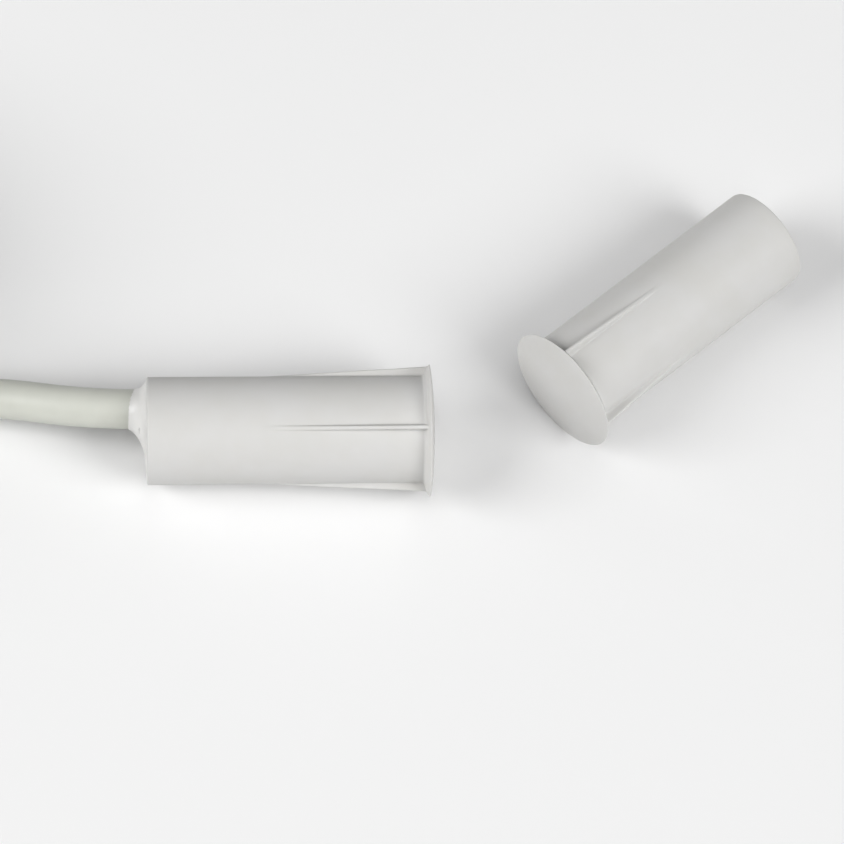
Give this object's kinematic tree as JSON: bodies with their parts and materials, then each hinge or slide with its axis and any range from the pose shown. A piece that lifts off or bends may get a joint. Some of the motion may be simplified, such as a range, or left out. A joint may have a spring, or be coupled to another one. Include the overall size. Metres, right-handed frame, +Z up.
{
  "type": "recessed magnetic contact",
  "caption": "Press-fit door or window contact: a ribbed, flanged reed-switch half with its cable and tamper loop, and the matching ribbed magnet half.",
  "frame": {"origin": "on the surface that both halves lie on, under the middle of the box round the two halves (without the cable and its hank)", "axes": "+X along the switch half's barrel, from its cable end to its flange; +Z up from the surface; +Y towards the magnet half's rear end"},
  "size_m": [0.1682, 0.0392, 0.0182],
  "materials": {
    "white_abs": "satin white moulding, fine sheen",
    "potting_resin": "white cast resin, slightly glossy where it wets the cable",
    "cable_jacket": "soft PVC, satin, faint green-grey white",
    "reed_glass": "clear green-tinted glass",
    "nickel_iron": "flattened wire, satin",
    "tinned_copper": "tinned strands, bright",
    "solder": "bright solder",
    "magnet": "ground dark metal",
    "tie_nylon": "natural nylon, satin",
    "core_white": "thin PVC insulation",
    "core_brown": "thin PVC insulation",
    "core_green": "thin PVC insulation",
    "core_yellow": "thin PVC insulation"
  },
  "bodies": {
    "root": {"switch_housing": "white_abs", "magnet_housing": "white_abs", "switch_potting": "potting_resin", "magnet_potting": "potting_resin", "magnet_rod": "magnet", "reed_glass": "reed_glass", "reed_blade_front": "nickel_iron", "reed_blade_rear": "nickel_iron", "solder_front": "solder", "solder_rear": "solder", "solder_tamper": "solder", "core_signal_front": "core_white", "core_signal_rear": "core_brown", "core_tamper_1": "core_green", "core_tamper_2": "core_yellow", "strand_signal_front": "tinned_copper", "strand_signal_rear": "tinned_copper", "strand_tamper_1": "tinned_copper", "strand_tamper_2": "tinned_copper", "cable_lead": "cable_jacket", "cable_hank": "cable_jacket", "cable_tail": "cable_jacket", "hank_tie": "tie_nylon", "end_core_white": "core_white", "end_core_brown": "core_brown", "end_core_green": "core_green", "end_core_yellow": "core_yellow", "end_tip_white": "tinned_copper", "end_tip_brown": "tinned_copper", "end_tip_green": "tinned_copper", "end_tip_yellow": "tinned_copper"}
  },
  "joints": []
}
